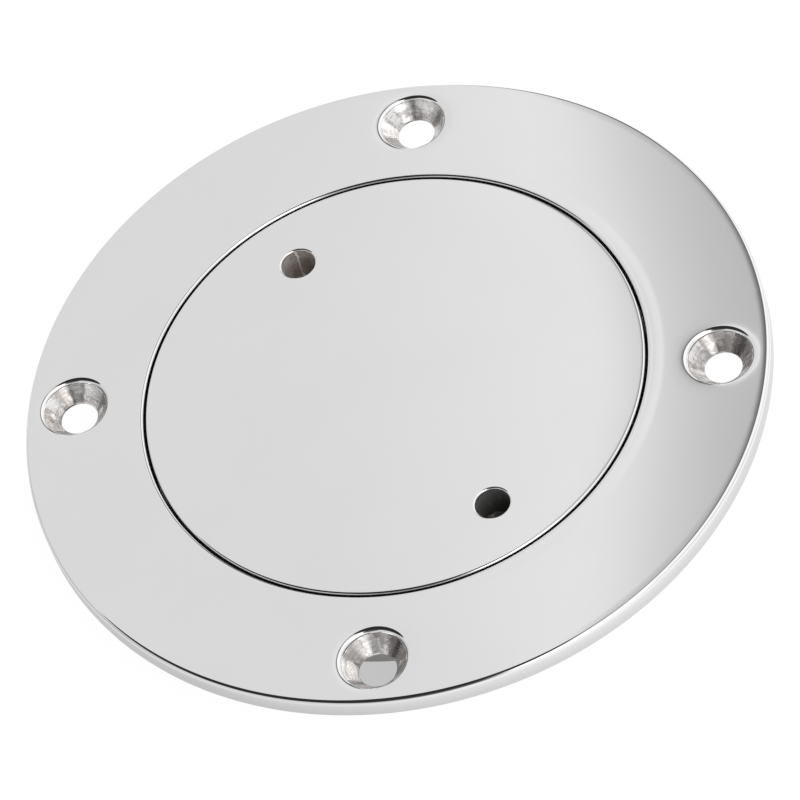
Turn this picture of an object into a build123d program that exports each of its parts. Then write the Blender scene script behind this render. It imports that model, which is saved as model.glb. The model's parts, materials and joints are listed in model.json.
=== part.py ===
from build123d import *
import os
from math import cos, radians, sin, tan

# Round deck inspection plate in polished stainless steel: a flanged ring that is screwed down over
# a hole in a deck, and a flush cap that screws into it and is turned with a two-pin key. A rubber
# seal lies under the cap's head. +Z points out of the deck, the ring's deck face is the plane Z = 0,
# and +X runs through one of the four screw holes. Lengths are in millimetres, angles in degrees.

# The way through the ring, and the coarse thread round it
opening_diameter = 76.2
thread_pitch = 3.0
thread_depth = 1.1
thread_flank_angle = 30.0
thread_radial_play = 0.3
thread_flank_play = 0.24
thread_end_gap = 1.3
thread_bite = 0.4
cap_thread_angle = 90.0

# The step that the cap's head drops into, from the thread outwards
stop_land = 1.0
seal_fit = 0.15
seal_width = 2.2
seal_height = 1.9
seal_room = 0.45
seat_depth = 4.6
seat_edge_break = 0.3

# The ring's neck and flange
neck_wall = 3.5
neck_depth = 11.0
neck_lead_in = 0.8
neck_root = 0.5
bore_lead_in = 0.6
flange_thickness = 4.0
flange_fall = 0.25
underside_break = 0.3

# Polished top: a flat land round the cap, then a slight fall to the rim, with its edges broken
lip_break = 0.6
lip_land = 2.7
rim_margin = 2.6
rim_break = 0.7
cap_edge_break = 0.5

# Countersunk screw holes, sunk a little so that a screw's head lies under the polished top
screw_count = 4
screw_hole_diameter = 6.4
countersink_diameter = 11.5
countersink_angle = 90.0
countersink_recess = 0.75
countersink_break = 0.5
screw_land = 2.9

# The cap
cap_gap = 0.4
cap_web = 4.0
skirt_wall = 3.3
skirt_inset = 2.0
skirt_lead_in = 0.8
pocket_root = 1.5
skirt_foot_break = 0.5

# Blind holes for the key's pins, each in a boss cast under the cap
key_hole_count = 2
key_hole_diameter = 5.8
key_hole_depth = 6.6
key_hole_break = 0.15
key_drill_point = 118.0
key_boss_wall = 2.7
key_boss_margin = 0.2
key_boss_floor = 1.7
key_boss_round = 1.0
key_angle = 124.6

# Thread radii: the ring's thread stands inwards from its bore, the cap's outwards from its skirt
ring_crest = opening_diameter / 2
ring_root = ring_crest + thread_depth
cap_crest = ring_root - thread_radial_play
cap_root = ring_crest - thread_radial_play
ridge_overlap = thread_depth - thread_radial_play
ridge_crest_width = (
    thread_pitch / 2 - ridge_overlap * tan(radians(thread_flank_angle)) - thread_flank_play
)

# Radii from the thread out to the rim
stop_radius = ring_root + stop_land
seal_radius = stop_radius + seal_fit + seal_width / 2
seat_radius = stop_radius + seal_fit + seal_width + seal_room
head_radius = seat_radius - cap_gap
neck_radius = seat_radius + neck_wall
sink_radius = countersink_diameter / 2
screw_circle_radius = neck_radius + screw_land + sink_radius
flange_radius = screw_circle_radius + sink_radius + rim_margin

# Heights: the cap's top is level with the ring's lip, and its head bottoms on the step
seat_z = flange_thickness - seat_depth
neck_foot_z = -neck_depth
skirt_foot_z = neck_foot_z + skirt_inset
head_rim_z = seat_z + seal_height
pocket_z = flange_thickness - cap_web
crown_radius = seat_radius + lip_land
rim_z = flange_thickness - flange_fall
crown_slope = flange_fall / (flange_radius - crown_radius)
crown_z = flange_thickness - crown_slope * (screw_circle_radius - crown_radius)

# Key holes
key_hole_radius = key_hole_diameter / 2
key_boss_radius = key_hole_radius + key_boss_wall
key_circle_radius = cap_root - key_boss_margin - key_boss_radius
key_point_height = key_hole_radius / tan(radians(key_drill_point / 2))
key_boss_foot_z = flange_thickness - key_hole_depth - key_point_height - key_boss_floor


def thread_ridge(body_radius, crest_radius, low_z, high_z, start_angle):
    """One right-handed helical ridge on a cylinder, blunt at both ends and rooted in the metal."""
    side = 1 if crest_radius > body_radius else -1
    flank_slope = tan(radians(thread_flank_angle))
    root_radius = body_radius - side * thread_bite
    ridge_height = abs(crest_radius - root_radius)
    half_crest = ridge_crest_width / 2
    half_root = half_crest + ridge_height * flank_slope
    with BuildPart() as ridge:
        with BuildLine() as path:
            Helix(pitch=thread_pitch, height=high_z - low_z, radius=root_radius, center=(0, 0, low_z))
        start = Plane(origin=path.line @ 0, x_dir=(1, 0, 0), z_dir=path.line % 0)
        with BuildSketch(start):
            Polygon(
                (0, -half_root),
                (side * ridge_height, -half_crest),
                (side * ridge_height, half_crest),
                (0, half_root),
                align=None,
            )
        sweep(path=path.line, is_frenet=True)
    return ridge.part.rotate(Axis.Z, start_angle)


# The cap's thread, and the ring's thread half a pitch away from it so that the two mesh
cap_thread_low = skirt_foot_z + thread_end_gap
cap_thread_high = seat_z - thread_end_gap
ring_thread_low = neck_foot_z + thread_end_gap
ring_thread_high = seat_z - thread_end_gap
ring_thread_angle = cap_thread_angle + 360 * ((ring_thread_low - cap_thread_low) / thread_pitch - 0.5)
cap_thread = thread_ridge(cap_root, cap_crest, cap_thread_low, cap_thread_high, cap_thread_angle)
ring_thread = thread_ridge(
    ring_root, ring_crest, ring_thread_low, ring_thread_high, ring_thread_angle
)

# Deck ring: flange, neck, step for the cap's head, internal thread and screw holes. Its profile is
# drawn midway between two screw holes, so that the seam of the turned faces stays clear of them.
profile_angle = 180 / screw_count
with BuildPart() as deck_ring:
    with BuildSketch(Plane.XZ.rotated((0, 0, profile_angle))):
        with BuildLine():
            Polyline(
                (seat_radius, seat_z),
                (seat_radius, flange_thickness - lip_break),
                (seat_radius + lip_break, flange_thickness),
                (crown_radius, flange_thickness),
                (flange_radius - rim_break, rim_z + crown_slope * rim_break),
                (flange_radius, rim_z - rim_break),
                (flange_radius, underside_break),
                (flange_radius - underside_break, 0),
                (neck_radius + neck_root, 0),
                (neck_radius, -neck_root),
                (neck_radius, neck_foot_z + neck_lead_in),
                (neck_radius - neck_lead_in, neck_foot_z),
                (ring_root + bore_lead_in, neck_foot_z),
                (ring_root, neck_foot_z + bore_lead_in),
                (ring_root, seat_z - seat_edge_break),
                (ring_root + seat_edge_break, seat_z),
                close=True,
            )
        make_face()
    revolve(axis=Axis.Z)
    add(ring_thread)
    with Locations((0, 0, crown_z - countersink_recess)):
        with PolarLocations(screw_circle_radius, screw_count):
            CounterSinkHole(
                radius=screw_hole_diameter / 2,
                counter_sink_radius=sink_radius,
                counter_sink_angle=countersink_angle,
            )
    chamfer(deck_ring.edges(Select.LAST).group_by(Axis.Z)[-1], countersink_break)
deck_ring.part.label = "deck_ring"

# Cap: flat head with a broken edge, a stop and seal step under it, and a hollow threaded skirt
pocket_radius = cap_root - skirt_wall
with BuildPart() as cap:
    with BuildSketch(Plane.XZ):
        with BuildLine():
            Polyline(
                (0, flange_thickness),
                (head_radius - cap_edge_break, flange_thickness),
                (head_radius, flange_thickness - cap_edge_break),
                (head_radius, head_rim_z),
                (stop_radius, head_rim_z),
                (stop_radius, seat_z),
                (cap_root, seat_z),
                (cap_root, skirt_foot_z + skirt_lead_in),
                (cap_root - skirt_lead_in, skirt_foot_z),
                (pocket_radius + skirt_foot_break, skirt_foot_z),
                (pocket_radius, skirt_foot_z + skirt_foot_break),
                (pocket_radius, pocket_z - pocket_root),
                (pocket_radius - pocket_root, pocket_z),
                (0, pocket_z),
                close=True,
            )
        make_face()
    revolve(axis=Axis.Z)
    add(cap_thread)
    with BuildSketch(Plane.XY.offset(pocket_z)):
        with PolarLocations(key_circle_radius, key_hole_count, start_angle=key_angle):
            Circle(key_boss_radius)
    extrude(amount=key_boss_foot_z - pocket_z)
    boss_feet = cap.faces(Select.LAST).filter_by(GeomType.PLANE).group_by(Axis.Z)[0].edges()
    chamfer(boss_feet.group_by(SortBy.RADIUS)[0], key_boss_round)
    with Locations((0, 0, flange_thickness)):
        with PolarLocations(key_circle_radius, key_hole_count, start_angle=key_angle):
            Hole(radius=key_hole_radius, depth=key_hole_depth)
    chamfer(cap.edges(Select.LAST).group_by(Axis.Z)[-1], key_hole_break)
    with Locations((0, 0, flange_thickness - key_hole_depth)):
        with PolarLocations(key_circle_radius, key_hole_count, start_angle=key_angle):
            Cone(
                bottom_radius=0,
                top_radius=key_hole_radius,
                height=key_point_height,
                align=(Align.CENTER, Align.CENTER, Align.MAX),
                mode=Mode.SUBTRACT,
            )
cap.part.label = "cap"

# Seal: a rubber ring squeezed between the cap's head and the step in the deck ring
with BuildPart() as seal_ring:
    with BuildSketch(Plane.XZ):
        with Locations((seal_radius, seat_z + seal_height / 2)):
            Rectangle(seal_width, seal_height)
    revolve(axis=Axis.Z)
seal_ring.part.label = "seal_ring"

os.makedirs("parts", exist_ok=True)
for piece in (deck_ring, cap, seal_ring):
    export_step(piece.part, f"parts/{piece.part.label}.step")
    print(piece.part.label, round(piece.part.volume), piece.part.is_valid)
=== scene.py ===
import json
import math

import bmesh
import bpy
from mathutils import Matrix, Vector

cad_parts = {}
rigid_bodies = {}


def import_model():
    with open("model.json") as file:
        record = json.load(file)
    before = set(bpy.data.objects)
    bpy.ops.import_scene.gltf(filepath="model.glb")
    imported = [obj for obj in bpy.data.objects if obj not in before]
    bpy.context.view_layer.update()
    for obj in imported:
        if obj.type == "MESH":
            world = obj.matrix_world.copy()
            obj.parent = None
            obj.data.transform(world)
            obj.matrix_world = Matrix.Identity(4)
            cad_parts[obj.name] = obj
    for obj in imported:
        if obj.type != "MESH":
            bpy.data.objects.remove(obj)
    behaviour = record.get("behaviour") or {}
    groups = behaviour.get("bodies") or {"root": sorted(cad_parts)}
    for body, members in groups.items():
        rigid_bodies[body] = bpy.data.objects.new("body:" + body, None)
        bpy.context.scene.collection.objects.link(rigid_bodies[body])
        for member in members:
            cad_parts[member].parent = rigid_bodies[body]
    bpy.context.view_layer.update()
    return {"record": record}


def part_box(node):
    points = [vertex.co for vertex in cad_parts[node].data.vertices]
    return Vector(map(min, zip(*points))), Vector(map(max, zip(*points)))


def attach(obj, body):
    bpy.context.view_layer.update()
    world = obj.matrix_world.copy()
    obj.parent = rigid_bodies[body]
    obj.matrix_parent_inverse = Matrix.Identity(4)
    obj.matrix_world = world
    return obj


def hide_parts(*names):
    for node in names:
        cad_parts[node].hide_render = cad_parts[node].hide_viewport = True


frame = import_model()

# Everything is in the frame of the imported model: the deck face is z = 0, +Z points out of the deck
# and +X runs through one of the screw holes. Sizes here are in millimetres, meshes in metres.
MM = 0.001


def packed_mount(name):
    """The sizes that the record gives for one of the part's mounts."""
    return next(m["dims"] for m in frame["record"]["mounts"] if m["name"] == name)


def packed_corner(node, corner):
    """A node's lowest (0) or highest (1) corner in millimetres."""
    return [round(value / MM, 2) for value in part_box(node)[corner]]


def farthest(node):
    """How far a node reaches from the Z axis in millimetres."""
    reach = max(vertex.co.xy.length for vertex in bpy.data.objects[node].data.vertices)
    return round(reach / MM, 2)


# Sizes read from the frame
FLANGE_RADIUS = farthest("deck_ring")
TOP_Z = packed_corner("deck_ring", 1)[2]
FOOT_Z = packed_corner("deck_ring", 0)[2]
HEAD_RADIUS = packed_corner("cap", 1)[0]
SKIRT_FOOT_Z = packed_corner("cap", 0)[2]
SEAL_RADIUS, _, SEAL_TOP_Z = packed_corner("seal_ring", 1)
SEAT_Z = packed_corner("seal_ring", 0)[2]
SCREW_CIRCLE = packed_mount("screw_holes")["pcd_mm"] / 2
SCREW_COUNT = packed_mount("screw_holes")["count"]
SCREW_RADIUS = packed_mount("screw_holes")["hole_r_mm"]
NECK_RADIUS = packed_mount("neck")["r_mm"]
KEY_RADIUS = packed_mount("key_hole_a")["r_mm"]

# The deck ring, from its bore out to its neck
BORE_RADIUS = 39.2
BORE_LEAD = 0.6
SEAT_RADIUS = 43.0
SEAT_BREAK = 0.3
LAND_START = 43.95
NECK_LEAD = 0.8
UNDER_START = NECK_RADIUS + 0.8

# The cap and the seal under its head
STOP_RADIUS = 40.2
SKIRT_RADIUS = 37.8
SKIRT_LEAD = 0.8
POCKET_RADIUS = 34.5
POCKET_Z = 0.0
POCKET_RINGS = (20, 10, 0)
SEAL_INNER_RADIUS = 40.35
SEAL_SEAM = SEAL_INNER_RADIUS + 1

# Polish goes this far down the walls that face each other round the cap
POLISHED_WALL = 0.9

# Rounds of the turned corners, as (radius, steps of the arc)
ROOT_ROUND = (0.5, 5)
LEAD_ROUND = (0.15, 2)
BORE_ROUND = (0.12, 2)
STEP_ROUND = (0.06, 2)
SEAT_ROUND = (0.2, 3)
UNDER_ROUND = (0.3, 4)
STOP_TOP_ROUND = (0.1, 2)
STOP_FOOT_ROUND = (0.15, 3)
SKIRT_ROUND = (0.5, 4)
POCKET_ROUND = (1.5, 8)
BOSS_ROUND = (1.0, 6)
SEAL_ROUND = (0.35, 5)
RIDGE_ROUND = (0.12, 2)

# Rolled edges: the width and angle of a shallow roll, then the radius of the round after it. An
# inset is where the height of the top is taken, and the band is what lies outside the rim's roll.
LIP_EDGE = (0.35, 3.0, 0.48)
LIP_INSET = 0.2
RIM_EDGE = (1.1, 2.4, 0.75)
RIM_BAND = 0.72
CAP_EDGE = (0.3, 3.0, 0.42)
CAP_INSET = 0.5
ROLL_STEPS = 8
ROUND_STEPS = 12
ROLL_TILT = math.tan(math.radians(RIM_EDGE[1]))
ROLL_END = FLANGE_RADIUS - RIM_BAND
ROLL_START = ROLL_END - RIM_EDGE[0]

# How fast the ring's polished top falls, as (radius, fall per millimetre), linear in between: a flat
# land, a crest that buffing has left at its edge, and then the crowned flange
TOP_FALLS = ((43.0, 0.006), (44.2, 0.006), (44.7, 0.0), (45.3, -0.005), (45.5, -0.004),
             (45.75, 0.004), (46.2, 0.0088), (64.0, 0.0232))
CROWN_START = TOP_FALLS[-2][0]

# The cap's top is flat up to here and then falls more and more towards its edge
CAP_FLAT = 33.0
CAP_FLAT_RINGS = (0, 10, 20, 28)
CAP_CROWN = 0.0006
CAP_CROWN_END = 41.6

# Screw holes: the buffed dish, the rounded mouth, the recess, the cone and the land under it
DISH_WIDTH = 1.3
DISH_SLOPE = 2.5
BROAD_DISH_WIDTH = 4.2
BROAD_DISH_DEPTH = 0.014
MOUTH_RADIUS = 6.2
MOUTH_ROUND = 0.9
MOUTH_LEVELLING = 0.9
RECESS_ANGLE = 62
SINK_RADIUS = 5.42
SINK_RECESS = 0.62
SINK_GROOVE = 0.04
CONE_FOOT = 3.3
CONE_FOOT_BREAK = (0.05, 0.06)
EXIT_BREAK = (0.15, 0.2)

# Key holes and the bosses that they are drilled in
KEY_COUNT = 2
KEY_CIRCLE = 32.0
KEY_ANGLE = 124.6
KEY_DEPTH = 6.6
KEY_POINT = 1.743
KEY_ROUND = 0.36
KEY_ROUND_START = 8
BOSS_RADIUS = 5.6
BOSS_FOOT_Z = -6.04
BOSS_ROOT_Z = POCKET_Z + 1.5

# Threads, as wall radius, crest radius, lowest and highest turn and start angle
PITCH = 3.0
RIDGE_CREST = 0.8
RIDGE_BITE = 0.4
FLANK_SLOPE = math.tan(math.radians(30))
RING_THREAD = (BORE_RADIUS, 38.1, -9.7, -1.9, 30.0)
CAP_THREAD = (SKIRT_RADIUS, 38.9, -7.7, -1.9, 90.0)

# Fineness of the meshes. Half a screw hole's block spans HOLE_HALF_SPAN degrees, one segment for
# each, and its top has rows that crowd towards the hole's mouth.
TURN_SEGMENTS = 360
KEY_SEGMENTS = 96
HOLE_HALF_SPAN = 12
TOP_ROWS = 22
TOP_CROWDING = 1.5
UNDER_ROWS = 6
BAND_ROWS = 8
LAND_ROWS = 14
MOUTH_ROWS = 10
CONE_ROWS = 12
WELD = 0.0008

# Camera: a long lens at the photograph's angle, with its roll
SENSOR = 36
LENS = 5777.5 / 800 * SENSOR
CAMERA_UNIT = 43.0
ROTATION_VECTOR = Vector((2.5011, -0.0133, -0.2918))
TRANSLATION = Vector((-0.0260, -0.0743, 22.3908)) * CAMERA_UNIT


def add_camera():
    turn = Matrix.Rotation(ROTATION_VECTOR.length, 3, ROTATION_VECTOR.normalized())
    place = -(turn.transposed() @ TRANSLATION) + Vector((0, 0, TOP_Z))
    flip = Matrix(((1, 0, 0), (0, -1, 0), (0, 0, -1)))
    facing = (flip @ turn).transposed()
    camera_data = bpy.data.cameras.new("camera")
    camera_data.sensor_width = SENSOR
    camera_data.lens = LENS
    camera_data.clip_end = 10
    camera = bpy.data.objects.new("camera", camera_data)
    camera.matrix_world = Matrix.Translation(place * MM) @ facing.to_4x4()
    bpy.context.scene.collection.objects.link(camera)
    bpy.context.scene.camera = camera


class Tree:
    """Short calls to build a node tree: nodes are added with what feeds their sockets."""

    def __init__(self, group):
        self.group = group
        self.nodes = group.nodes
        self.nodes.clear()

    def add(self, kind, feeds=None, **settings):
        node = self.nodes.new(kind)
        for key, value in settings.items():
            setattr(node, key, value)
        for key, value in (feeds or {}).items():
            self.feed(node.inputs[key], value)
        return node

    def feed(self, socket, value):
        """Feeds a socket from a node's first output, from another socket or with a plain value."""
        if isinstance(value, bpy.types.Node):
            self.group.links.new(value.outputs[0], socket)
        elif isinstance(value, bpy.types.NodeSocket):
            self.group.links.new(value, socket)
        else:
            socket.default_value = value

    def math(self, operation, a, b=0.0):
        return self.add("ShaderNodeMath", {0: a, 1: b}, operation=operation)

    def vector(self, operation, a, b=(0, 0, 0)):
        """Vector arithmetic: a length or a dot product comes back as a value, the rest as a vector."""
        node = self.add("ShaderNodeVectorMath", {0: a, 1: b}, operation=operation)
        return node.outputs["Value" if operation in ("LENGTH", "DOT_PRODUCT") else "Vector"]

    def split(self, vector):
        return self.add("ShaderNodeSeparateXYZ", {0: vector}).outputs

    def joined(self, x=0.0, y=0.0, z=0.0):
        return self.add("ShaderNodeCombineXYZ", {0: x, 1: y, 2: z})

    def in_plan(self, place):
        """A place as seen from above, with no height."""
        return self.vector("MULTIPLY", place, (1, 1, 0))

    def smooth(self, value, low, high, to_low=0.0, to_high=1.0):
        """A smooth step from to_low to to_high as the value goes from low to high."""
        feeds = {"Value": value, "From Min": low, "From Max": high, "To Min": to_low, "To Max": to_high}
        return self.add("ShaderNodeMapRange", feeds, interpolation_type="SMOOTHSTEP")


class GeometryTree(Tree):
    """A Geometry Nodes tree with named inputs, and the bake that turns its result into a mesh."""

    def __init__(self, name, **inputs):
        super().__init__(bpy.data.node_groups.new(name, "GeometryNodeTree"))
        self.ids = {}
        for label, kind in inputs.items():
            socket = self.group.interface.new_socket(
                name=label, in_out="INPUT", socket_type="NodeSocket" + kind)
            self.ids[label] = socket.identifier
        self.group.interface.new_socket(
            name="Made", in_out="OUTPUT", socket_type="NodeSocketGeometry")
        self.given = self.nodes.new("NodeGroupInput").outputs
        self.result = self.nodes.new("NodeGroupOutput").inputs["Made"]

    def finish(self, geometry, finish):
        """The end of a tree: real geometry, with its material."""
        real = self.add("GeometryNodeRealizeInstances", {0: geometry})
        self.feed(self.result, self.add("GeometryNodeSetMaterial", {0: real, "Material": finish}))

    def bake(self, piece, **values):
        """Runs the tree on a piece with these inputs and leaves its plain mesh on the piece."""
        modifier = piece.modifiers.new(self.group.name, "NODES")
        modifier.node_group = self.group
        for label, value in values.items():
            modifier[self.ids[label]] = value
        graph = bpy.context.evaluated_depsgraph_get()
        mesh = bpy.data.meshes.new_from_object(piece.evaluated_get(graph), depsgraph=graph)
        piece.modifiers.clear()
        piece.data = mesh
        return piece


def plain_mesh(name, points, edges=(), faces=()):
    """A mesh object at the origin, from points in millimetres."""
    mesh = bpy.data.meshes.new(name)
    mesh.from_pydata([Vector(p) * MM for p in points], edges, faces)
    piece = bpy.data.objects.new(name, mesh)
    bpy.context.scene.collection.objects.link(piece)
    return piece


def turning_tree():
    """A lathe: rounds the corners of a profile drawn as x = radius, y = height and turns it."""
    tree = GeometryTree("turning", Profile="Geometry", Segments="Int", Finish="Material")
    line = tree.add("GeometryNodeMeshToCurve", {0: tree.given["Profile"]})
    corner = tree.add("GeometryNodeInputNamedAttribute", {"Name": "corner"}, data_type="FLOAT")
    steps = tree.add("GeometryNodeInputNamedAttribute", {"Name": "steps"}, data_type="INT")
    feeds = {"Curve": line, "Radius": corner, "Count": steps}
    rounded = tree.add("GeometryNodeFilletCurve", feeds, mode="POLY")
    # The profile is swept round a small circle, so it first moves in by the circle's own radius
    core = 1.0 * MM
    feeds = {0: rounded, "Translation": (-core, 0, 0), "Rotation": (math.pi, 0, 0)}
    shifted = tree.add("GeometryNodeTransform", feeds)
    circle = tree.add("GeometryNodeCurvePrimitiveCircle",
                      {"Resolution": tree.given["Segments"], "Radius": core})
    turned = tree.add("GeometryNodeCurveToMesh", {"Curve": circle, "Profile Curve": shifted})
    merged = tree.add("GeometryNodeMergeByDistance", {0: turned, "Distance": WELD * MM})
    tree.finish(merged, tree.given["Finish"])
    return tree


def round_pattern_tree():
    """Copies a piece round the Z axis, numbers the copies and gives each zone its finish."""
    tree = GeometryTree("round_pattern", Piece="Geometry", Count="Int", First="Float", Finish="Material",
                        Cut_Finish="Material", Under_Finish="Material")
    number = tree.add("GeometryNodeInputIndex")
    step = tree.math("DIVIDE", math.tau, tree.given["Count"])
    angle = tree.math("ADD", tree.math("MULTIPLY", number, step), tree.given["First"])
    points = tree.add("GeometryNodePoints", {"Count": tree.given["Count"]})
    feeds = {"Points": points, "Instance": tree.given["Piece"], "Rotation": tree.joined(z=angle)}
    copies = tree.add("GeometryNodeInstanceOnPoints", feeds)
    numbered = tree.add("GeometryNodeStoreNamedAttribute", {0: copies, "Name": "hole_number"},
                        data_type="FLOAT", domain="INSTANCE")
    tree.feed(numbered.inputs["Value"], number)
    real = tree.add("GeometryNodeRealizeInstances", {0: numbered})
    finished = tree.add("GeometryNodeSetMaterial", {0: real, "Material": tree.given["Finish"]})
    zone = tree.add("GeometryNodeInputNamedAttribute", {"Name": "zone"}, data_type="INT")
    for wanted, finish in ((CUT_ZONE, "Cut_Finish"), (UNDER_ZONE, "Under_Finish")):
        inside = tree.add("FunctionNodeCompare", {2: zone, 3: wanted}, data_type="INT", operation="EQUAL")
        finished = tree.add("GeometryNodeSetMaterial",
                            {0: finished, "Selection": inside, "Material": tree.given[finish]})
    tree.feed(tree.result, finished)
    return tree


def thread_tree():
    """One blunt helical ridge, rooted a little way in the metal of its wall."""
    tree = GeometryTree("thread", Start="Geometry", Wall="Float", Height="Float", Low="Float",
                        Length="Float", First="Float", Crest="Float", Root="Float", Finish="Material")
    turns = tree.math("DIVIDE", tree.given["Length"], PITCH * MM)
    feeds = {"Resolution": TURN_SEGMENTS // 2, "Rotations": turns, "Start Radius": tree.given["Wall"],
             "End Radius": tree.given["Wall"], "Height": tree.given["Length"], "Reverse": True}
    helix = tree.add("GeometryNodeCurveSpiral", feeds)
    upright = tree.add("GeometryNodeSetCurveNormal", {0: helix}, mode="Z_UP")
    section = tree.add("GeometryNodeCurvePrimitiveQuadrilateral", mode="TRAPEZOID")
    section.inputs["Offset"].default_value = 0
    size = tree.math("ABSOLUTE", tree.given["Height"])
    for socket, value in (("Height", size), ("Bottom Width", tree.given["Root"]),
                          ("Top Width", tree.given["Crest"])):
        tree.feed(section.inputs[socket], value)
    side = tree.math("SIGN", tree.given["Height"])
    turn = tree.joined(z=tree.math("MULTIPLY", side, -math.pi / 2))
    shift = tree.joined(x=tree.math("MULTIPLY", tree.given["Height"], 0.5))
    laid = tree.add("GeometryNodeTransform", {0: section, "Translation": shift, "Rotation": turn})
    radius, steps = RIDGE_ROUND
    soft = tree.add("GeometryNodeFilletCurve", {"Curve": laid, "Radius": radius * MM, "Count": steps},
                    mode="POLY")
    ridge = tree.add("GeometryNodeCurveToMesh",
                     {"Curve": upright, "Profile Curve": soft, "Fill Caps": True})
    feeds = {0: ridge, "Translation": tree.joined(z=tree.given["Low"]),
             "Rotation": tree.joined(z=tree.given["First"])}
    tree.finish(tree.add("GeometryNodeTransform", feeds), tree.given["Finish"])
    return tree


def welding_tree():
    """Joins the pieces of a collection into one closed skin."""
    tree = GeometryTree("welding", Start="Geometry", Pieces="Collection")
    pieces = tree.add("GeometryNodeCollectionInfo", {"Collection": tree.given["Pieces"]})
    real = tree.add("GeometryNodeRealizeInstances", {0: pieces})
    tree.feed(tree.result, tree.add("GeometryNodeMergeByDistance", {0: real, "Distance": WELD * MM}))
    return tree


def fusing_tree(operation):
    """Fuses the pieces of a collection with a body, or cuts them from it."""
    tree = GeometryTree(operation.lower(), Body="Geometry", Pieces="Collection")
    pieces = tree.add("GeometryNodeCollectionInfo", {"Collection": tree.given["Pieces"]})
    real = tree.add("GeometryNodeRealizeInstances", {0: pieces})
    boolean = tree.add("GeometryNodeMeshBoolean", operation=operation, solver="MANIFOLD")
    body_socket = "Mesh 1" if operation == "DIFFERENCE" else "Mesh 2"
    tree.feed(boolean.inputs[body_socket], tree.given["Body"])
    tree.feed(boolean.inputs["Mesh 2"], real)
    tree.feed(tree.result, boolean)
    return tree


# Zones of a piece that is repeated round the axis: each takes a finish of its own
TOP_ZONE = 0
CUT_ZONE = 1
UNDER_ZONE = 2

TURNING = turning_tree()
ROUND_PATTERN = round_pattern_tree()
THREAD = thread_tree()
WELDING = welding_tree()
UNION = fusing_tree("UNION")
DIFFERENCE = fusing_tree("DIFFERENCE")


def turned(name, profile, finish, segments=TURN_SEGMENTS, centre=(0, 0)):
    """Turns a profile of (radius, height, corner radius, arc steps), the last two as needed."""
    full = [tuple(point) + (0, 1)[len(point) - 2:] for point in profile]
    line = plain_mesh(name, [(r, z, 0) for r, z, _, _ in full],
                      edges=[(i, i + 1) for i in range(len(full) - 1)])
    corner = line.data.attributes.new("corner", "FLOAT", "POINT")
    corner.data.foreach_set("value", [radius * MM for _, _, radius, _ in full])
    steps = line.data.attributes.new("steps", "INT", "POINT")
    steps.data.foreach_set("value", [count for _, _, _, count in full])
    piece = TURNING.bake(line, Segments=segments, Finish=finish)
    piece.data.transform(Matrix.Translation(Vector((*centre, 0)) * MM))
    return piece


def outward(piece):
    """Points the faces of a closed mesh outwards."""
    skin = bmesh.new()
    skin.from_mesh(piece.data)
    bmesh.ops.recalc_face_normals(skin, faces=skin.faces)
    skin.to_mesh(piece.data)
    skin.free()
    return piece


def collected(name, pieces):
    """A collection of pieces that are only used up by a tree."""
    group = bpy.data.collections.new(name)
    bpy.context.scene.collection.children.link(group)
    for piece in pieces:
        bpy.context.scene.collection.objects.unlink(piece)
        group.objects.link(piece)
    return group


def used_up(group):
    for piece in list(group.objects):
        bpy.data.objects.remove(piece)
    bpy.data.collections.remove(group)


def combined(tree, body, group_name, pieces):
    """Bakes a tree on a body with these pieces, which are then gone."""
    group = collected(group_name, pieces)
    tree.bake(body, Pieces=group)
    used_up(group)
    return body


def spaced(start, end, steps):
    return [start + (end - start) * i / steps for i in range(steps + 1)]


def polar(radius, degrees, height):
    a = math.radians(degrees)
    return radius * math.cos(a), radius * math.sin(a), height


def rolled_corners(outer_radius, top_z, edge, slope=0.0, side=1):
    """Two corners of a profile: a shallow roll, and then the round over to the wall."""
    roll_width, roll_angle, round_radius = edge
    tilt = math.radians(roll_angle) + slope
    round_reach = round_radius * math.tan((math.pi / 2 - tilt) / 2)
    roll_x = outer_radius - side * (round_reach + roll_width / 2)
    roll_radius = roll_width / 2 / math.tan(math.radians(roll_angle) / 2)
    run = round_reach + roll_width / 2
    wall_z = top_z - run * math.tan(tilt)
    return (roll_x, top_z, roll_radius, ROLL_STEPS), (outer_radius, wall_z, round_radius, ROUND_STEPS)


def crown_height(radius):
    """Height of the ring's polished top, with the shallow roll at the rim."""
    fall = 0.0
    for (start, first), (end, last) in zip(TOP_FALLS, TOP_FALLS[1:]):
        run = min(max(radius - start, 0.0), end - start)
        fall += first * run + (last - first) / (end - start) * run * run / 2
    roll = max(0.0, radius - ROLL_START)
    return TOP_Z - fall - ROLL_TILT * roll * roll / (2 * RIM_EDGE[0])


def deck_height(_):
    """Height of the flange's underside, which lies flat on the deck."""
    return 0.0


def cap_height(radius):
    return TOP_Z - CAP_CROWN * max(0.0, radius - CAP_FLAT) ** 2


def dish_depth(distance, room):
    """How far buffing has sunk the top at this distance from a screw hole's mouth."""
    near = max(0.0, 1 - distance / DISH_WIDTH)
    wide = max(0.0, 1 - distance / min(room, BROAD_DISH_WIDTH))
    steep = math.tan(math.radians(DISH_SLOPE)) * DISH_WIDTH / 3
    return steep * near ** 3 + BROAD_DISH_DEPTH * wide ** 3


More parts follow.
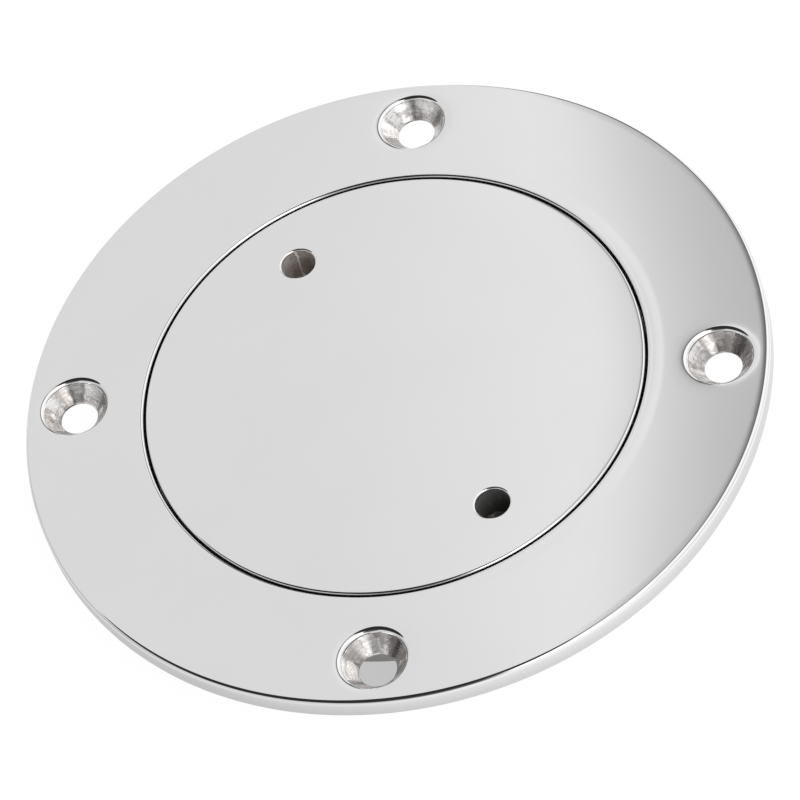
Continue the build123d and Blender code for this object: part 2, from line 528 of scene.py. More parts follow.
class Patch:
    """Points and faces of a piece that is made row by row."""

    def __init__(self):
        self.points, self.faces, self.zones, self.places = [], [], [], []

    def row(self, points, places=None):
        """Adds a row of points and tells where it starts."""
        first = len(self.points)
        self.points += points
        self.places += places or [(0, 0, 0)] * len(points)
        return first

    def bridge(self, first, second, count, closed, zone, flip=False):
        """Fills the band between two rows of as many points."""
        for i in range(count if closed else count - 1):
            j = (i + 1) % count
            face = (first + i, first + j, second + j, second + i)
            self.faces.append(face[::-1] if flip else face)
            self.zones.append(zone)

    def mesh(self, name):
        piece = plain_mesh(name, self.points, faces=self.faces)
        zone = piece.data.attributes.new("zone", "INT", "FACE")
        zone.data.foreach_set("value", self.zones)
        place = piece.data.attributes.new("hole_place", "FLOAT_VECTOR", "POINT")
        place.data.foreach_set("vector", [value for point in self.places for value in point])
        return piece


def plain_sector(patch, radii, height, zone, flip):
    """The stretch of the flange between one screw hole's block and the next."""
    first, last = HOLE_HALF_SPAN, 360 / SCREW_COUNT - HOLE_HALF_SPAN
    angles = spaced(first, last, round(last - first))
    rows = [patch.row([polar(r, a, height(r)) for a in angles]) for r in radii]
    for inner, outer in zip(rows, rows[1:]):
        patch.bridge(inner, outer, len(angles), False, zone, flip)


def block_border(radii, height):
    """The points round a drilled block, from the middle of its outer arc and anticlockwise."""
    half = HOLE_HALF_SPAN
    corners = [(radii[-1], a) for a in range(0, half)]
    corners += [(r, half) for r in reversed(radii[1:])]
    corners += [(radii[0], a) for a in range(half, -half, -1)]
    corners += [(r, -half) for r in radii[:-1]]
    corners += [(radii[-1], a) for a in range(-half, 0)]
    return [polar(r, a, height(r)) for r, a in corners]


def hole_ring(count, radius, height):
    """Points round a screw hole, with their heights from a function of their place."""
    ring = []
    for i in range(count):
        a = math.tau * i / count
        x, y = SCREW_CIRCLE + radius * math.cos(a), radius * math.sin(a)
        ring.append((x, y, height(x, y)))
    return ring


def hole_profile():
    """(radius, depth, how far it follows the crown) down a screw hole, from its mouth."""
    slope, end = math.radians(DISH_SLOPE), math.radians(RECESS_ANGLE)
    start = dish_depth(0, BROAD_DISH_WIDTH)
    profile = []
    for share in spaced(0, 1, MOUTH_ROWS)[1:]:
        a = slope + (end - slope) * share
        along = MOUTH_ROUND * (math.sin(a) - math.sin(slope))
        down = MOUTH_ROUND * (math.cos(slope) - math.cos(a))
        profile.append((MOUTH_RADIUS - along, start + down, 1 - MOUTH_LEVELLING * share))

    cone_top = (SINK_RADIUS - 2 * SINK_GROOVE, SINK_RECESS + SINK_GROOVE / 2)
    cone_foot = (SCREW_RADIUS + CONE_FOOT_BREAK[0], CONE_FOOT - SINK_GROOVE / 2)
    profile += [(SINK_RADIUS, SINK_RECESS - SINK_GROOVE, 0.0),
                (SINK_RADIUS - SINK_GROOVE / 2, SINK_RECESS, 0.0), (*cone_top, 0.0)]
    for share in spaced(0, 1, CONE_ROWS)[1:]:
        radius, depth = (top + (foot - top) * share for top, foot in zip(cone_top, cone_foot))
        profile.append((radius, depth, 0.0))

    crown = crown_height(SCREW_CIRCLE)
    profile += [(SCREW_RADIUS, CONE_FOOT + CONE_FOOT_BREAK[1], 0.0),
                (SCREW_RADIUS, (CONE_FOOT + crown) / 2, 0.0),
                (SCREW_RADIUS, crown - EXIT_BREAK[1], 0.0), (SCREW_RADIUS + EXIT_BREAK[0], crown, 0.0)]
    return profile


def dished_top(patch, border):
    """The buffed top of a drilled block, from its border in to the hole's mouth."""
    mouth = hole_ring(len(border), MOUTH_RADIUS, lambda x, y: 0.0)
    previous = None
    for done in spaced(0, 1, TOP_ROWS):
        share = (1 - done) ** TOP_CROWDING
        row = []
        for (bx, by, _), (mx, my, _) in zip(border, mouth):
            x, y = mx + (bx - mx) * share, my + (by - my) * share
            room = math.hypot(bx - SCREW_CIRCLE, by) - MOUTH_RADIUS
            distance = math.hypot(x - SCREW_CIRCLE, y) - MOUTH_RADIUS
            row.append((x, y, crown_height(math.hypot(x, y)) - dish_depth(distance, room)))
        first = patch.row(row)
        if previous is not None:
            patch.bridge(previous, first, len(row), True, TOP_ZONE)
        previous = first
    return previous


def sunk_hole(patch, count, previous):
    """The walls of a screw hole, from its mouth down to the underside."""
    crown = crown_height(SCREW_CIRCLE)
    for radius, depth, follow in hole_profile():
        def lowered(x, y):
            return crown - depth + follow * (crown_height(math.hypot(x, y)) - crown)
        ring = hole_ring(count, radius, lowered)
        places = [((x - SCREW_CIRCLE) / 10, y / 10, (z - crown) / 10) for x, y, z in ring]
        first = patch.row(ring, places)
        patch.bridge(previous, first, count, True, TOP_ZONE if depth < SINK_RECESS else CUT_ZONE)
        previous = first
    return previous


def drilled_underside(patch, border, previous):
    """The underside of a drilled block, from the hole out to its border."""
    hole = patch.points[previous:]
    for share in spaced(0, 1, UNDER_ROWS)[1:]:
        row = []
        for (bx, by, _), (hx, hy, _) in zip(border, hole):
            row.append((hx + (bx - hx) * share, hy + (by - hy) * share, 0.0))
        first = patch.row(row)
        patch.bridge(previous, first, len(row), True, UNDER_ZONE)
        previous = first


def flange_quarter():
    """One screw hole with its share of the flange's top and underside."""
    patch = Patch()
    top_radii = spaced(CROWN_START, ROLL_START, BAND_ROWS) + spaced(ROLL_START, ROLL_END, BAND_ROWS)[1:]
    under_radii = spaced(UNDER_START, ROLL_END, len(top_radii) - 1)
    plain_sector(patch, top_radii, crown_height, TOP_ZONE, True)
    plain_sector(patch, under_radii, deck_height, UNDER_ZONE, False)
    border = block_border(top_radii, crown_height)
    mouth = dished_top(patch, border)
    foot = sunk_hole(patch, len(border), mouth)
    drilled_underside(patch, block_border(under_radii, deck_height), foot)
    return patch.mesh("flange_quarter")


def shaded(piece, angle=32):
    """Smooth shading with its real edges kept sharp."""
    piece.data.shade_smooth()
    piece.data.set_sharp_from_angle(angle=math.radians(angle))
    return piece


def crisp_mouths(piece, level=0.9995, tilted=0.995):
    """Keeps the edge sharp where the level top breaks into the mouth of a key hole."""
    skin = bmesh.new()
    skin.from_mesh(piece.data)
    for edge in skin.edges:
        upward = sorted(face.normal.z for face in edge.link_faces)
        if upward[0] < tilted and upward[1] > level:
            edge.smooth = False
    skin.to_mesh(piece.data)
    skin.free()
    return piece


def placed(piece, body, node):
    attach(piece, body)
    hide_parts(node)
    return piece


def threaded(name, thread, finish):
    """A thread's ridge, outside or inside its wall as the crest says."""
    wall, crest, low, high, first = thread
    side = 1 if crest > wall else -1
    root = wall - side * RIDGE_BITE
    height = abs(crest - root)
    root_width = RIDGE_CREST + 2 * height * FLANK_SLOPE
    start = plain_mesh(name, [(0, 0, 0)])
    THREAD.bake(start, Wall=root * MM, Height=side * height * MM, Low=low * MM, Length=(high - low) * MM,
                First=math.radians(first), Crest=RIDGE_CREST * MM, Root=root_width * MM, Finish=finish)
    return outward(start)


def make_deck_ring(polish, sink, satin):
    land = [(r, crown_height(r)) for r in spaced(LAND_START, CROWN_START, LAND_ROWS)]
    lip_roll, lip_round = rolled_corners(SEAT_RADIUS, crown_height(LAND_START - LIP_INSET), LIP_EDGE, side=-1)
    wall_top = (SEAT_RADIUS, TOP_Z - POLISHED_WALL)
    seat = turned("seat", [
        (BORE_RADIUS + SEAT_BREAK, SEAT_Z), (SEAT_RADIUS, SEAT_Z, *SEAT_ROUND), wall_top], satin)
    lip = turned("lip", [wall_top, lip_round, lip_roll, *land], polish)
    rim_tilt = TOP_FALLS[-1][1] + ROLL_TILT
    wall_z = crown_height(ROLL_END) - rim_tilt * RIM_BAND
    rim = turned("rim", [
        (ROLL_END, crown_height(ROLL_END)), (FLANGE_RADIUS, wall_z, RIM_EDGE[2], ROUND_STEPS),
        (FLANGE_RADIUS, 0, *UNDER_ROUND), (ROLL_END, 0)], polish)
    neck = turned("neck_and_bore", [
        (UNDER_START, 0), (NECK_RADIUS, 0, *ROOT_ROUND), (NECK_RADIUS, FOOT_Z + NECK_LEAD, *LEAD_ROUND),
        (NECK_RADIUS - NECK_LEAD, FOOT_Z, *LEAD_ROUND), (BORE_RADIUS + BORE_LEAD, FOOT_Z, *BORE_ROUND),
        (BORE_RADIUS, FOOT_Z + BORE_LEAD, *BORE_ROUND), (BORE_RADIUS, SEAT_Z - SEAT_BREAK, *STEP_ROUND),
        (BORE_RADIUS + SEAT_BREAK, SEAT_Z)], satin)
    flange = ROUND_PATTERN.bake(flange_quarter(), Count=SCREW_COUNT, First=0.0, Finish=polish,
                                Cut_Finish=sink, Under_Finish=satin)
    ring = plain_mesh("deck_ring_steel", [(0, 0, 0)])
    combined(WELDING, ring, "ring_skins", [seat, lip, rim, neck, flange])
    outward(ring)
    combined(UNION, ring, "ring_threads", [threaded("ring_thread", RING_THREAD, satin)])
    return placed(shaded(ring), "deck_ring", "deck_ring")


def cap_skins(polish, satin):
    """The cap's polished head, and everything under it that is only turned."""
    wall_top = (HEAD_RADIUS, TOP_Z - POLISHED_WALL)
    crown = spaced(CAP_FLAT, CAP_CROWN_END, BAND_ROWS)
    top = [(r, cap_height(r)) for r in (*CAP_FLAT_RINGS, *crown)]
    edge_slope = 2 * CAP_CROWN * (HEAD_RADIUS - CAP_FLAT)
    edge = rolled_corners(HEAD_RADIUS, cap_height(HEAD_RADIUS - CAP_INSET), CAP_EDGE, edge_slope)
    head = turned("cap_head", [*top, *edge, wall_top], polish)
    skirt = turned("cap_skirt", [
        wall_top, (HEAD_RADIUS, SEAL_TOP_Z), (STOP_RADIUS, SEAL_TOP_Z, *STOP_TOP_ROUND),
        (STOP_RADIUS, SEAT_Z, *STOP_FOOT_ROUND), (SKIRT_RADIUS, SEAT_Z, *SEAT_ROUND),
        (SKIRT_RADIUS, SKIRT_FOOT_Z + SKIRT_LEAD, *LEAD_ROUND),
        (SKIRT_RADIUS - SKIRT_LEAD, SKIRT_FOOT_Z, *LEAD_ROUND), (POCKET_RADIUS, SKIRT_FOOT_Z, *SKIRT_ROUND),
        (POCKET_RADIUS, POCKET_Z, *POCKET_ROUND), *((r, POCKET_Z) for r in POCKET_RINGS)], satin)
    return [head, skirt]


def at_key_holes(piece, **finishes):
    return ROUND_PATTERN.bake(piece, Count=KEY_COUNT, First=math.radians(KEY_ANGLE), **finishes)


def key_bosses(satin):
    boss = turned("boss", [
        (0, BOSS_ROOT_Z), (BOSS_RADIUS, BOSS_ROOT_Z), (BOSS_RADIUS, BOSS_FOOT_Z, *BOSS_ROUND),
        (0, BOSS_FOOT_Z)], satin, KEY_SEGMENTS, (KEY_CIRCLE, 0))
    return at_key_holes(outward(boss), Finish=satin, Cut_Finish=satin, Under_Finish=satin)


def key_pits(polish, satin, bored):
    """What is cut away for the key holes: polished at the mouth, bored below it."""
    wide, above = KEY_RADIUS + KEY_ROUND, TOP_Z + 1
    mouth = []
    for a in spaced(math.radians(KEY_ROUND_START), math.pi / 2, MOUTH_ROWS):
        mouth.append((KEY_RADIUS + KEY_ROUND * (1 - math.sin(a)), TOP_Z - KEY_ROUND * (1 - math.cos(a))))
    rounding = turned("pit_mouth", [(0, above), (wide, above), (wide, TOP_Z + 0.02), *mouth],
                      polish, KEY_SEGMENTS, (KEY_CIRCLE, 0))
    pit_floor = TOP_Z - KEY_DEPTH
    shaft = turned("pit", [mouth[-1], (KEY_RADIUS, pit_floor), (0, pit_floor - KEY_POINT)],
                   bored, KEY_SEGMENTS, (KEY_CIRCLE, 0))
    for skin, zone in ((rounding, TOP_ZONE), (shaft, CUT_ZONE)):
        zones = skin.data.attributes.new("zone", "INT", "FACE")
        zones.data.foreach_set("value", [zone] * len(skin.data.polygons))
    pit = plain_mesh("pit_cutter", [(0, 0, 0)])
    combined(WELDING, pit, "pit_skins", [rounding, shaft])
    return at_key_holes(outward(pit), Finish=polish, Cut_Finish=bored, Under_Finish=satin)


def make_cap(polish, satin, bored):
    skins = cap_skins(polish, satin)
    cap = plain_mesh("cap_steel", [(0, 0, 0)])
    outward(combined(WELDING, cap, "cap_skins", skins))
    combined(UNION, cap, "cap_adds", [key_bosses(satin), threaded("cap_thread", CAP_THREAD, satin)])
    combined(DIFFERENCE, cap, "cap_pits", [key_pits(polish, satin, bored)])
    return placed(crisp_mouths(shaded(cap)), "cap", "cap")


def make_seal(rubber):
    corners = [(SEAL_RADIUS, SEAT_Z), (SEAL_RADIUS, SEAL_TOP_Z),
               (SEAL_INNER_RADIUS, SEAL_TOP_Z), (SEAL_INNER_RADIUS, SEAT_Z)]
    profile = [(*corner, *SEAL_ROUND) for corner in corners]
    seal = turned("rubber_seal", [(SEAL_SEAM, SEAT_Z), *profile, (SEAL_SEAM, SEAT_Z)], rubber)
    return placed(shaded(outward(seal)), "seal_ring", "seal_ring")


# Colours of the finishes
HAZY_POLISH, CLEAR_POLISH = (0.795, 0.795, 0.795), (0.805, 0.805, 0.805)
POLISH_MARK = (0.6, 0.59, 0.58)
DULL_SINK, BRIGHT_SINK = (0.52, 0.495, 0.48), (0.98, 0.965, 0.955)
SINK_GROOVES = (0.38, 0.34, 0.32)
SINK_SPECKS = (0.16, 0.12, 0.1)
# The colour of the painted dark reflection in a countersink
SINK_DARK_REFLECTION = (0.12, 0.11, 0.11)
DULL_SATIN, CLEAR_SATIN = (0.64, 0.632, 0.622), (0.68, 0.672, 0.664)
PALE_BORE, BROWN_BORE = (0.6, 0.56, 0.53), (0.4, 0.35, 0.32)
# Painted shade: the second key hole's wall is coloured very dark for the shade deep inside it, with rust
# specks mixed in
PAINTED_SHADE_BORE, RUSTY_BORE = (0.16, 0.16, 0.158), (0.62, 0.5, 0.43)
BORE_SCRATCH = (1.0, 0.93, 0.9)
BLACK_RUBBER, GREY_RUBBER = (0.02, 0.02, 0.021), (0.04, 0.04, 0.042)

# The painted dark reflection in a countersink: where it sits, in degrees, and every how many holes it comes
DARK_REFLECTION_ANGLE = 48
DARK_REFLECTION_EVERY = 3

# The bright scratch down one key hole's wall, as a direction in plan
SCRATCH_LINE = (-0.25, 0.97)


def new_material(name):
    material = bpy.data.materials.new(name)
    material.use_nodes = True
    tree = Tree(material.node_tree)
    shader = tree.add("ShaderNodeBsdfPrincipled")
    tree.add("ShaderNodeOutputMaterial", {"Surface": shader})
    place = tree.add("ShaderNodeTexCoord").outputs["Object"]
    return material, tree, shader, place


def noise(tree, place, scale, detail=2.0, roughness=0.5):
    feeds = {"Vector": place, "Scale": scale, "Detail": detail, "Roughness": roughness}
    return tree.add("ShaderNodeTexNoise", feeds)


def blended(tree, share, first, second):
    """A colour between two, each a socket or three values, by a share from 0 to 1."""
    first, second = ((*c, 1) if isinstance(c, tuple) else c for c in (first, second))
    return tree.add("ShaderNodeMix", {0: share, 6: first, 7: second}, data_type="RGBA").outputs[2]


def bumped(tree, shader, height, distance, strength=1.0, normal=None):
    """Bump of this depth in millimetres, on top of the bump that normal gives."""
    feeds = {"Height": height, "Distance": distance * MM, "Strength": strength}
    if normal is not None:
        feeds["Normal"] = normal
    bump = tree.add("ShaderNodeBump", feeds)
    tree.feed(shader.inputs["Normal"], bump)
    return bump


def polished_steel(name):
    """Mirror polish with the faint waviness, grain, haze and small marks that buffing leaves."""
    material, tree, shader, place = new_material(name)
    haze = noise(tree, place, scale=60, detail=3)
    clear = blended(tree, tree.smooth(haze, 0.3, 0.7), HAZY_POLISH, CLEAR_POLISH)
    cells = tree.add("ShaderNodeTexVoronoi", {"Vector": place, "Scale": 150, "Randomness": 1.0},
                     feature="F1")
    marked = tree.math("GREATER_THAN", tree.split(cells.outputs["Color"])[0], 0.84)
    size = tree.math("MULTIPLY", noise(tree, place, scale=3000), 0.035)
    mark = tree.math("MULTIPLY", tree.math("LESS_THAN", cells.outputs["Distance"], size), marked)
    tree.feed(shader.inputs["Base Color"], blended(tree, mark, clear, POLISH_MARK))
    shader.inputs["Metallic"].default_value = 1
    smear = noise(tree, place, scale=140, detail=4)
    tree.feed(shader.inputs["Roughness"], tree.smooth(smear, 0.3, 0.75, 0.03, 0.055))
    stretched = tree.vector("MULTIPLY", place, (1, 7, 1))
    wave = bumped(tree, shader, noise(tree, place, scale=420), 0.0008)
    grain = noise(tree, stretched, scale=260, detail=4, roughness=0.6)
    grained = bumped(tree, shader, grain, 0.0009, normal=wave)
    bumped(tree, shader, tree.math("SUBTRACT", 1, mark), 0.01, normal=grained)
    return material


def hole_coordinates(tree):
    """A countersink's number, its place from its own axis (in centimetres) and the way out from it."""
    made_at = tree.add("ShaderNodeAttribute", attribute_name="hole_place").outputs["Vector"]
    number = tree.add("ShaderNodeAttribute", attribute_name="hole_number").outputs["Fac"]
    quarters = tree.math("MULTIPLY", number, math.tau / SCREW_COUNT)
    place = tree.add("ShaderNodeVectorRotate", {"Vector": made_at, "Angle": quarters},
                     rotation_type="Z_AXIS").outputs["Vector"]
    return number, place, tree.in_plan(place)


def turned_sink(name):
    """A countersink: warm, with the turned rings, chatter, blotches and specks that the tool left, and a
    painted dark reflection on one side of some holes.
    """
    material, tree, shader, _ = new_material(name)
    number, place, level = hole_coordinates(tree)
    aim = tree.vector("NORMALIZE", level)
    apart = tree.joined(z=tree.math("MULTIPLY", number, 7.3))
    own = tree.vector("ADD", place, apart)
    chatter = noise(tree, tree.vector("ADD", aim, apart), scale=2.0, detail=1.0, roughness=0.4)
    ring_place = tree.joined(tree.vector("LENGTH", level), tree.math("MULTIPLY", number, 3.1),
                             tree.math("MULTIPLY", chatter, 0.1))
    rings = noise(tree, ring_place, scale=34, detail=3, roughness=0.7)
    blotch = noise(tree, own, scale=6.5, detail=3, roughness=0.55)
    speck = noise(tree, own, scale=34, detail=4, roughness=0.7)
    wedges = tree.math("MULTIPLY", tree.math("SUBTRACT", chatter, 0.5), 1.7)
    uneven = tree.math("ADD", blotch, wedges)
    warm = blended(tree, tree.smooth(uneven, 0.34, 0.6), DULL_SINK, BRIGHT_SINK)
    grooved = blended(tree, tree.smooth(rings, 0.52, 0.66, 0, 0.45), warm, SINK_GROOVES)
    specks = tree.math("MULTIPLY", tree.smooth(speck, 0.62, 0.66), tree.smooth(blotch, 0.5, 0.42, 0, 0.85))
    specked = blended(tree, specks, grooved, SINK_SPECKS)
    # Painted dark reflection: a dark patch on one side of every third countersink
    towards = tree.vector("DOT_PRODUCT", aim, polar(1, DARK_REFLECTION_ANGLE, 0))
    reach = tree.math("ADD", towards, tree.math("MULTIPLY", speck, 0.22))
    holes_with_dark_reflection = tree.math("LESS_THAN", tree.math("MODULO", number, DARK_REFLECTION_EVERY), 0.5)
    stain_and_painted_reflection = tree.math("MULTIPLY", tree.smooth(reach, 1.045, 1.085, 0, 0.85), holes_with_dark_reflection)
    tree.feed(shader.inputs["Base Color"], blended(tree, stain_and_painted_reflection, specked, SINK_DARK_REFLECTION))
    shader.inputs["Metallic"].default_value = 1
    shader.inputs["Anisotropic"].default_value = 0.75
    tree.feed(shader.inputs["Tangent"], aim)
    tree.feed(shader.inputs["Roughness"], tree.smooth(blotch, 0.35, 0.65, 0.38, 0.24))
    waves = bumped(tree, shader, chatter, 0.3)
    bumped(tree, shader, rings, 0.04, normal=waves)
    return material


def satin_steel(name):
    """Turned stainless steel that is never polished: fine rings and a dull sheen."""
    material, tree, shader, place = new_material(name)
    radius = tree.vector("LENGTH", tree.in_plan(place))
    ring_place = tree.joined(radius, tree.split(place)["Z"])
    rings = noise(tree, ring_place, scale=4200, roughness=0.6)
    cloud = noise(tree, place, scale=90, detail=4)
    tree.feed(shader.inputs["Base Color"],
              blended(tree, tree.smooth(cloud, 0.3, 0.7), DULL_SATIN, CLEAR_SATIN))
    shader.inputs["Metallic"].default_value = 1
    tree.feed(shader.inputs["Roughness"], tree.smooth(rings, 0.25, 0.75, 0.26, 0.4))
    bumped(tree, shader, rings, 0.012, 0.8)
    return material


def bored_steel(name):
    """The drilled key holes: one dull brown with a bright scratch, the other painted very dark for the shade
    deep inside it, with rust specks towards its foot.
    """
    material, tree, shader, place = new_material(name)
    side = tree.math("SIGN", tree.split(place)["Y"])
    axis = tuple(value * MM for value in polar(KEY_CIRCLE, KEY_ANGLE, 0))
    centre = tree.add("ShaderNodeVectorMath", {0: axis, "Scale": side}, operation="SCALE")
    own = tree.vector("SUBTRACT", place, centre)
    _, y, z = tree.split(own)
    drill = noise(tree, tree.joined(z), scale=3800, roughness=0.6)
    stain_and_painted_reflection = noise(tree, place, scale=620, detail=4, roughness=0.65)
    foot = tree.smooth(z, -1.0 * MM, -2.4 * MM, 0, 0.17)
    brown = blended(tree, tree.smooth(stain_and_painted_reflection, 0.35, 0.68), PALE_BORE, BROWN_BORE)
    rusty = tree.smooth(tree.math("ADD", stain_and_painted_reflection, foot), 0.63, 0.72)
    # Painted shade with rust specks: the colour of the second key hole
    painted_shade_and_rust = blended(tree, rusty, PAINTED_SHADE_BORE, RUSTY_BORE)
    waver = tree.math("SUBTRACT", noise(tree, place, scale=900, detail=1), 0.5)
    sway = tree.math("MULTIPLY", waver, 0.8 * MM)
    beside = tree.math("ADD", tree.vector("DOT_PRODUCT", own, (SCRATCH_LINE[1], -SCRATCH_LINE[0], 0)), sway)
    width = tree.math("MULTIPLY", stain_and_painted_reflection, 0.4 * MM)
    scratch = tree.math("MULTIPLY", tree.math("LESS_THAN", tree.math("ABSOLUTE", beside), width),
                        tree.math("GREATER_THAN", y, 0))
    scratched = blended(tree, scratch, brown, BORE_SCRATCH)
    tree.feed(shader.inputs["Base Color"],
              blended(tree, tree.math("GREATER_THAN", side, 0), painted_shade_and_rust, scratched))
    shader.inputs["Metallic"].default_value = 0.3
    tree.feed(shader.inputs["Roughness"], tree.smooth(stain_and_painted_reflection, 0.3, 0.7, 0.45, 0.7))
    bumped(tree, shader, drill, 0.03, 0.9)
    return material


def black_rubber(name):
    material, tree, shader, place = new_material(name)
    grain = noise(tree, place, scale=5000)
    cloud = noise(tree, place, scale=200, detail=3)
    tree.feed(shader.inputs["Base Color"], blended(tree, cloud, BLACK_RUBBER, GREY_RUBBER))
    tree.feed(shader.inputs["Roughness"], tree.smooth(grain, 0.3, 0.7, 0.55, 0.75))
    bumped(tree, shader, grain, 0.01, 0.6)
    return material


# The studio's walls, as (direction along X, level). Beyond the plate is a wide pale backdrop, a dark
# gap at its right end and a tall white panel to the right of that, which is dimmer low down. On the
# camera's side the walls are pale up to the same panel. The backdrop's right end leans and bends a
# little to either side of BACKDROP_Y.
FAR_SIDE = ((-1.0, 0.55), (-0.85, 0.8), (-0.7, 0.86), (-0.3, 0.86), (-0.225, 0.867), (-0.206, 0.89),
            (-0.185, 0.935), (-0.17, 0.96), (-0.162, 0.94), (-0.156, 0.9), (-0.152, 0.86), (-0.148, 0.82),
            (-0.1436, 0.775), (-0.135, 0.725), (-0.126, 0.66), (-0.118, 0.635), (-0.108, 0.604),
            (-0.096, 0.568), (-0.084, 0.47), (-0.0726, 0.36), (-0.061, 0.27), (-0.05, 0.19),
            (0.1, 0.15), (0.2, 1.2), (0.75, 1.2), (0.92, 0.9), (1.0, 0.85))
NEAR_SIDE = ((-1.0, 0.55), (-0.8, 0.8), (0.1, 0.8), (0.3, 1.2), (0.75, 1.2), (0.92, 0.9), (1.0, 0.85))
LOW_PANEL = 0.92
FAR_LEAN = 0.08
FAR_BEND = 1.4
BACKDROP_Y = 0.584

# Round lights and dark openings, as (direction, degrees where it ends and where it is full, level):
# a lamp to the right of the camera, a dark opening to the left of it and another one overhead. The
# countersinks mirror the first two, and the rounded edges that face the camera the last.
ROUND_LIGHTS = (((0.55, -0.6, 0.66), (20, 11), 2.8),
                ((-0.03, -0.78, 0.62), (24, 13), 0.12),
                ((-0.34, -0.27, 0.9), (34.5, 32.5), 0.03))


def grey(level):
    return level, level, level


def add_ramp(tree, value, stops):
    """A grey ramp over a value from -1 to 1, with (value, level) stops."""
    spread = tree.add("ShaderNodeMapRange", {"Value": value, "From Min": -1, "From Max": 1})
    ramp = tree.add("ShaderNodeValToRGB", {"Fac": spread})
    marks = ramp.color_ramp.elements
    for mark, (place, level) in zip((marks[0], marks[1]), (stops[0], stops[-1])):
        mark.position = (place + 1) / 2
        mark.color = (*grey(level), 1)
    for place, level in stops[1:-1]:
        marks.new((place + 1) / 2).color = (*grey(level), 1)
    return ramp.outputs["Color"]


def opening(tree, direction, centre, spread):
    """1 inside a round opening of the studio, and 0 outside it, by angles from its centre."""
    nearness = tree.vector("DOT_PRODUCT", direction, tuple(Vector(centre).normalized()))
    outer, inner = (math.cos(math.radians(angle)) for angle in spread)
    return tree.smooth(nearness, outer, inner)


def add_studio():
    world = bpy.data.worlds.new("studio")
    bpy.context.scene.world = world
    world.use_nodes = True
    tree = Tree(world.node_tree)
    direction = tree.add("ShaderNodeTexCoord").outputs["Generated"]
    x, y, z = tree.split(direction)
    aside = tree.math("SUBTRACT", y, BACKDROP_Y)
    bend = tree.math("SUBTRACT", FAR_LEAN, tree.math("MULTIPLY", aside, FAR_BEND))
    lean = tree.math("MULTIPLY", aside, tree.smooth(tree.math("ABSOLUTE", aside), 0.3, 0.2))
    far = add_ramp(tree, tree.math("ADD", x, tree.math("MULTIPLY", lean, bend)), FAR_SIDE)
    near = add_ramp(tree, x, NEAR_SIDE)
    walls = blended(tree, tree.smooth(y, 0.1, -0.15), far, near)
    low_panel = tree.math("MULTIPLY", tree.smooth(x, 0.15, 0.25), tree.smooth(z, 0.35, 0.2))
    walls = blended(tree, low_panel, walls, grey(LOW_PANEL))
    for centre, spread, level in ROUND_LIGHTS:
        walls = blended(tree, opening(tree, direction, centre, spread), walls, grey(level))
    sky = tree.add("ShaderNodeBackground", {"Color": walls, "Strength": 1.0})
    white = tree.add("ShaderNodeBackground", {"Color": (1, 1, 1, 1), "Strength": 1.0})
    camera_ray = tree.add("ShaderNodeLightPath").outputs["Is Camera Ray"]
    mix = tree.add("ShaderNodeMixShader", {0: camera_ray, 1: sky, 2: white})
    tree.add("ShaderNodeOutputWorld", {"Surface": mix})


# The floor lies a little under the neck's foot and is clear from below, so that the underside shows
FLOOR_REACH = 2000
FLOOR_GAP = 0.03
FLOOR_MATT = 0.9
FLOOR_WHITE = 1.07
# How much painted shadow darkens the floor close round the neck, on the -Y side
PAINTED_NECK_SHADOW = 0.5
GLOW_SHARE = 0.9


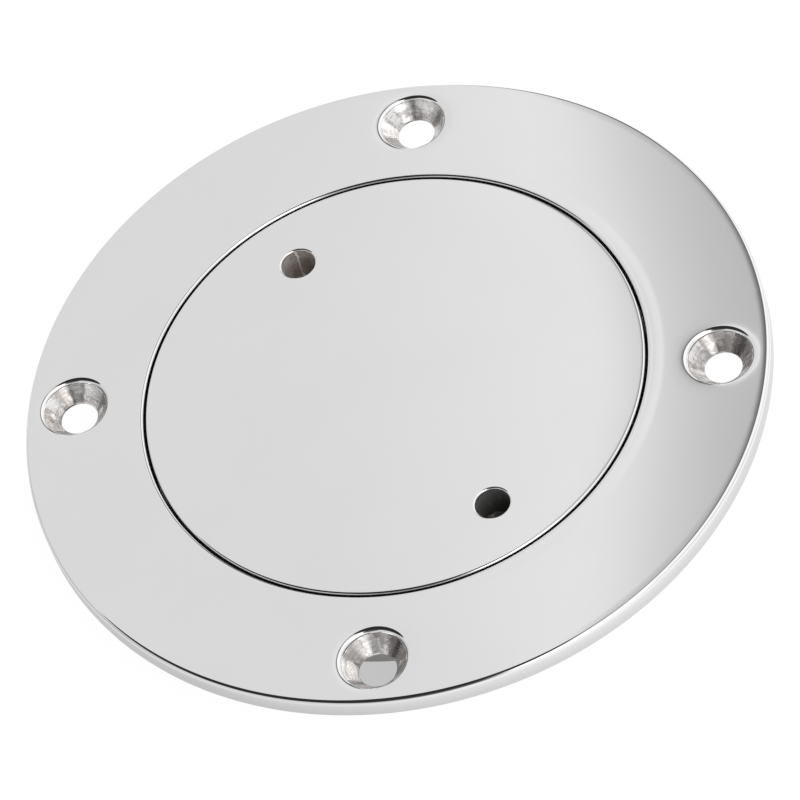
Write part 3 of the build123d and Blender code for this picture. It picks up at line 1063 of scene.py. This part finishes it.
def floor_levels(tree, place):
    """The floor's level for the eye, with a painted shadow beside the neck, and its level for the metal that
    mirrors it, with painted shade under the flange and painted light on the panel's side.
    """
    x, y, _ = tree.split(place)
    radius = tree.vector("LENGTH", tree.in_plan(place))
    # Painted shadow: the floor is darker close round the neck on the -Y side
    painted_neck_shadow = tree.math("MULTIPLY", tree.smooth(radius, 51.6 * MM, 50.6 * MM),
                            tree.smooth(y, -8 * MM, -30 * MM))
    seen = tree.math("SUBTRACT", FLOOR_WHITE, tree.math("MULTIPLY", painted_neck_shadow, PAINTED_NECK_SHADOW))
    # Painted light and shade in what the metal mirrors: the floor glows brighter towards +X where the panel
    # is, darker under the flange, and lighter again past the rim
    painted_panel_light = tree.smooth(x, -50 * MM, 80 * MM, 0.9, 1.22)
    painted_flange_shade = tree.smooth(radius, 46 * MM, 66 * MM, 0.3, 0.72)
    painted_shade_fadeout = tree.smooth(radius, 66 * MM, 80 * MM, 0.0, 0.28)
    mirrored = tree.math("MULTIPLY", painted_panel_light, tree.math("ADD", painted_flange_shade, painted_shade_fadeout))
    return seen, mirrored


def add_floor():
    corners = [(-1, -1), (1, -1), (1, 1), (-1, 1)]
    floor = plain_mesh("floor", [(x * FLOOR_REACH, y * FLOOR_REACH, FOOT_Z - FLOOR_GAP) for x, y in corners],
                       faces=[(0, 1, 2, 3)])
    material = bpy.data.materials.new("floor_white")
    material.use_nodes = True
    tree = Tree(material.node_tree)
    rays = tree.add("ShaderNodeLightPath").outputs
    eye = tree.math("MAXIMUM", rays["Is Camera Ray"], rays["Is Glossy Ray"])
    eye_or_mirror = tree.math("MAXIMUM", eye, rays["Is Transmission Ray"])
    seen, mirrored = floor_levels(tree, tree.add("ShaderNodeTexCoord").outputs["Object"])
    level = tree.add("ShaderNodeMix", {0: rays["Is Glossy Ray"], 2: seen, 3: mirrored}, data_type="FLOAT")
    matt = tree.add("ShaderNodeBsdfDiffuse", {"Color": (*grey(FLOOR_MATT), 1)})
    glow = tree.add("ShaderNodeEmission", {"Color": (1, 1, 1, 1), "Strength": level})
    share = tree.math("MULTIPLY", eye_or_mirror, GLOW_SHARE)
    top = tree.add("ShaderNodeMixShader", {0: share, 1: matt, 2: glow})
    from_below = tree.add("ShaderNodeNewGeometry").outputs["Backfacing"]
    clear = tree.add("ShaderNodeBsdfTransparent")
    mix = tree.add("ShaderNodeMixShader", {0: from_below, 1: top, 2: clear})
    tree.add("ShaderNodeOutputMaterial", {"Surface": mix})
    floor.data.materials.append(material)


bpy.context.scene.view_settings.view_transform = "Standard"
add_camera()
add_studio()
add_floor()

polish = polished_steel("polished_steel")
sink = turned_sink("turned_countersink")
satin = satin_steel("turned_steel")
bored = bored_steel("bored_key_hole")
rubber = black_rubber("black_rubber")
make_deck_ring(polish, sink, satin)
make_cap(polish, satin, bored)
make_seal(rubber)
